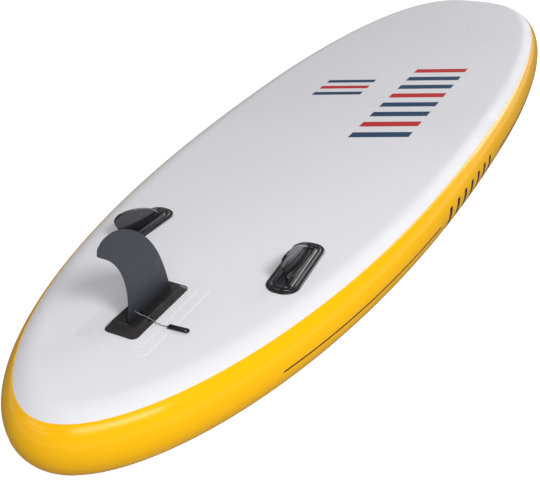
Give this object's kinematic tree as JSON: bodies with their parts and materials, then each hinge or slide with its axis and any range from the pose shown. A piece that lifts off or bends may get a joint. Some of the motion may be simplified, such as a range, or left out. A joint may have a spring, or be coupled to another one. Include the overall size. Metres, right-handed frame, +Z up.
{
  "type": "inflatable windsurf board",
  "caption": "Inflatable board with white faces, a yellow rail, a raked centre fin in a slide-in box, side fins, a foam deck pad and a threaded mast insert.",
  "frame": {"origin": "on the ground below the middle of the board, which lies deck down", "axes": "+Y to the nose, +X to the right as the board lies, +Z up, out of the bottom face that carries the fins"},
  "size_m": [0.86, 3.0016, 0.3773],
  "materials": {
    "white_pvc": "matte white PVC-coated fabric",
    "patch_pvc": "white PVC patch, satin",
    "yellow_pvc": "yellow PVC-coated fabric, satin",
    "grey_pvc": "grey PVC-coated fabric",
    "thread": "polyester thread",
    "foam": "grooved foam",
    "webbing": "woven black webbing",
    "fin_grey": "matte slate grey plastic",
    "box_black": "satin black plastic",
    "gloss_black": "gloss black plastic",
    "key_plastic": "satin black plastic",
    "cord": "thin grey cord",
    "valve_plastic": "grey moulded plastic",
    "seal_rubber": "soft black rubber",
    "stainless": "polished stainless steel"
  },
  "bodies": {
    "board": {"bottom_skin": "white_pvc", "deck_skin": "white_pvc", "inner_sidewall": "grey_pvc", "rail_band_left": "yellow_pvc", "rail_band_right": "yellow_pvc", "nose_wrap_patch": "yellow_pvc", "tail_wrap_patch": "yellow_pvc", "drop_stitch_threads": "thread", "deck_pad_tail": "foam", "deck_pad_left": "foam", "deck_pad_right": "foam", "deck_pad_middle": "foam", "deck_pad_front": "foam", "fin_patch_large": "patch_pvc", "fin_patch_small": "patch_pvc", "fin_box": "box_black", "side_fin_base_left": "gloss_black", "side_fin_base_right": "gloss_black", "side_fin_left": "gloss_black", "side_fin_right": "gloss_black", "handle_patches": "grey_pvc", "handle_webbing": "webbing", "handle_grip": "foam", "valve_body": "valve_plastic", "valve_nut": "valve_plastic", "valve_spring": "stainless", "mast_foot_patch": "grey_pvc", "mast_foot_insert": "valve_plastic", "mast_foot_bush": "stainless", "mast_foot_nut": "valve_plastic", "ring_patches": "grey_pvc", "ring_straps": "webbing"},
    "centre_fin": {"centre_fin": "fin_grey", "fin_key_cord": "cord", "fin_key": "key_plastic"},
    "valve_cap": {"valve_cap": "valve_plastic"},
    "valve_stem": {"valve_stem": "valve_plastic", "valve_seal": "seal_rubber"},
    "d_ring_front_left": {"d_ring_front_left": "stainless"},
    "d_ring_front_right": {"d_ring_front_right": "stainless"},
    "d_ring_rear_left": {"d_ring_rear_left": "stainless"},
    "d_ring_rear_right": {"d_ring_rear_right": "stainless"},
    "d_ring_tow": {"d_ring_tow": "stainless"},
    "d_ring_leash": {"d_ring_leash": "stainless"}
  },
  "joints": [
    {"name": "fin_slide", "type": "slide", "parent": "board", "child": "centre_fin", "axis": [0, 1, 0], "range_m": [0, 0.19]},
    {"name": "valve_cap_lift", "type": "slide", "parent": "board", "child": "valve_cap", "axis": [0, 0, -1], "range_m": [0, 0.04]},
    {"name": "valve_stem_push", "type": "slide", "parent": "board", "child": "valve_stem", "axis": [0, 0, 1], "range_m": [0, 0.005], "stiffness_N_per_m": 800, "springref_m": -0.004, "deforming": ["valve_spring"]},
    {"name": "front_left_ring_swing", "type": "hinge", "parent": "board", "child": "d_ring_front_left", "pos_m": [-0.15, 1.01, 0.00374], "axis": [1, 0, 0], "range_deg": [0, 160]},
    {"name": "front_right_ring_swing", "type": "hinge", "parent": "board", "child": "d_ring_front_right", "pos_m": [0.15, 1.01, 0.00374], "axis": [1, 0, 0], "range_deg": [0, 160]},
    {"name": "rear_left_ring_swing", "type": "hinge", "parent": "board", "child": "d_ring_rear_left", "pos_m": [-0.19, 0.73, 0.00374], "axis": [-1, 0, 0], "range_deg": [0, 160]},
    {"name": "rear_right_ring_swing", "type": "hinge", "parent": "board", "child": "d_ring_rear_right", "pos_m": [0.19, 0.73, 0.00374], "axis": [-1, 0, 0], "range_deg": [0, 160]},
    {"name": "tow_ring_swing", "type": "hinge", "parent": "board", "child": "d_ring_tow", "pos_m": [0, 1.372, 0.00374], "axis": [-1, 0, 0], "range_deg": [0, 160]},
    {"name": "leash_ring_swing", "type": "hinge", "parent": "board", "child": "d_ring_leash", "pos_m": [0, -1.372, 0.00374], "axis": [1, 0, 0], "range_deg": [0, 160]}
  ]
}
